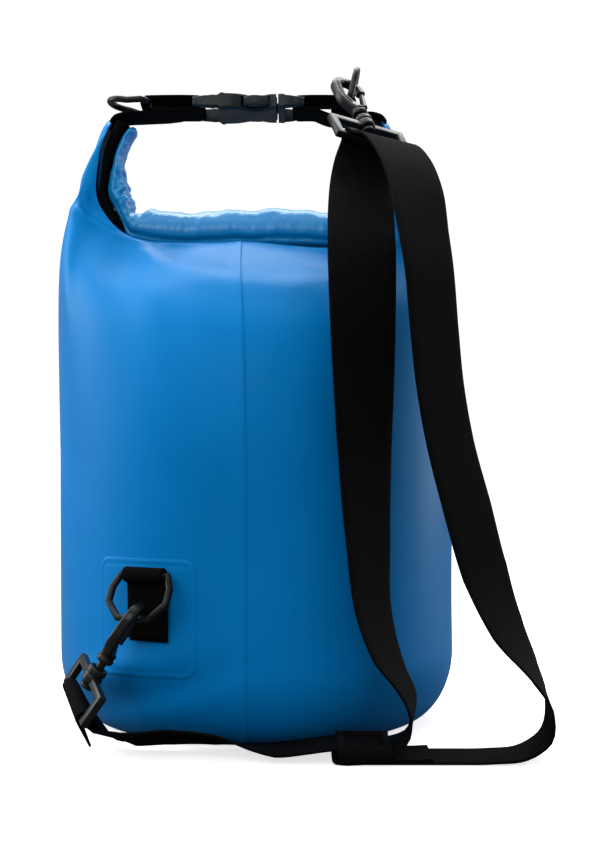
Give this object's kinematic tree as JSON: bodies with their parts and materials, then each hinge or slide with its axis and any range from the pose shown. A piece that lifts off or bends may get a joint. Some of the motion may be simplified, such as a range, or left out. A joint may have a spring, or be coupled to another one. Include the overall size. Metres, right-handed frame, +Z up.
{
  "type": "roll-top dry bag",
  "caption": "Blue roll-top dry bag on a round base, mouth rolled and buckled into a carry handle, with a clipped-on adjustable black shoulder strap.",
  "frame": {"origin": "centre of the round base's underside, on the floor", "axes": "+Z up, -Y towards the seam side with the lower ring patch, +X towards the strap's side"},
  "size_m": [0.2822, 0.2688, 0.4008],
  "materials": {
    "tarpaulin": "satin blue coated fabric, high-frequency welded",
    "tarpaulin_roll": "satin blue coated fabric seen from its inner, lighter face",
    "black_webbing": "black woven polyester webbing",
    "strap_webbing": "black woven polyester webbing, fine ribs",
    "buckle_plastic": "satin black moulded acetal",
    "ring_plastic": "satin black moulded acetal",
    "hook_plastic": "satin black moulded nylon"
  },
  "bodies": {
    "bag": {"bag_shell": "tarpaulin", "base_disc": "tarpaulin", "rolled_mouth": "tarpaulin_roll", "mouth_stiffener": "black_webbing", "handle_webbing_left": "black_webbing", "handle_webbing_right": "black_webbing", "buckle_socket": "buckle_plastic", "buckle_fork": "buckle_plastic", "upper_strap_frame": "hook_plastic", "ring_patch": "tarpaulin", "ring_tab": "black_webbing", "lower_strap_frame": "hook_plastic", "shoulder_strap": "strap_webbing"},
    "left_ring": {"d_ring_left": "ring_plastic"},
    "right_ring": {"d_ring_right": "ring_plastic"},
    "lower_ring": {"d_ring_lower": "ring_plastic"},
    "upper_hook_body": {"upper_hook": "hook_plastic"},
    "upper_gate_body": {"upper_gate": "hook_plastic"},
    "lower_hook_body": {"lower_hook": "hook_plastic"},
    "lower_gate_body": {"lower_gate": "hook_plastic"},
    "front_prong": {"buckle_prong_front": "buckle_plastic"},
    "rear_prong": {"buckle_prong_rear": "buckle_plastic"},
    "slider": {"strap_slider": "buckle_plastic"}
  },
  "joints": [
    {"name": "left_ring_swing", "type": "hinge", "parent": "bag", "child": "left_ring", "pos_m": [-0.067, 0, 0.375], "axis": [0, 0.9925, -0.1219], "range_deg": [0, 120]},
    {"name": "right_ring_swing", "type": "hinge", "parent": "bag", "child": "right_ring", "pos_m": [0.056, 0, 0.375], "axis": [0, 0.9925, -0.1219], "range_deg": [-4, 4]},
    {"name": "lower_ring_swing", "type": "hinge", "parent": "bag", "child": "lower_ring", "pos_m": [-0.05925, -0.11143, 0.0975], "axis": [0.8829, -0.4695, 0], "range_deg": [-4, 4]},
    {"name": "upper_hook_swivel", "type": "hinge", "parent": "bag", "child": "upper_hook_body", "pos_m": [0.062, -0.0274, 0.3658], "axis": [-0.2451, 0.6815, 0.6895], "range_deg": [-5, 5]},
    {"name": "upper_gate_hinge", "type": "hinge", "parent": "upper_hook_body", "child": "upper_gate_body", "pos_m": [0.06498, -0.01781, 0.37159], "axis": [0.4308, -0.5606, 0.7072], "range_deg": [0, 9], "stiffness_Nm_per_rad": 0.02},
    {"name": "lower_hook_swivel", "type": "hinge", "parent": "bag", "child": "lower_hook_body", "pos_m": [-0.08008, -0.11835, 0.05223], "axis": [0.5599, -0.12, 0.8198], "range_deg": [-5, 5]},
    {"name": "lower_gate_hinge", "type": "hinge", "parent": "lower_hook_body", "child": "lower_gate_body", "pos_m": [-0.07316, -0.11349, 0.06017], "axis": [0.7956, -0.1984, -0.5724], "range_deg": [0, 6], "stiffness_Nm_per_rad": 0.02},
    {"name": "prong_front_squeeze", "type": "hinge", "parent": "bag", "child": "front_prong", "pos_m": [0.0121, -0.0129, 0.37658], "axis": [0, -0.1219, -0.9925], "range_deg": [0, 6], "stiffness_Nm_per_rad": 0.05},
    {"name": "prong_rear_squeeze", "type": "hinge", "parent": "bag", "child": "rear_prong", "pos_m": [0.0121, 0.0129, 0.37342], "axis": [0, 0.1219, 0.9925], "range_deg": [0, 6], "stiffness_Nm_per_rad": 0.05},
    {"name": "slider_slide", "type": "slide", "parent": "bag", "child": "slider", "axis": [-1, 0, 0], "range_m": [0, 0.01]}
  ],
  "couplings": [
    {"joint": "prong_rear_squeeze", "follows": "prong_front_squeeze", "ratio": 1}
  ]
}
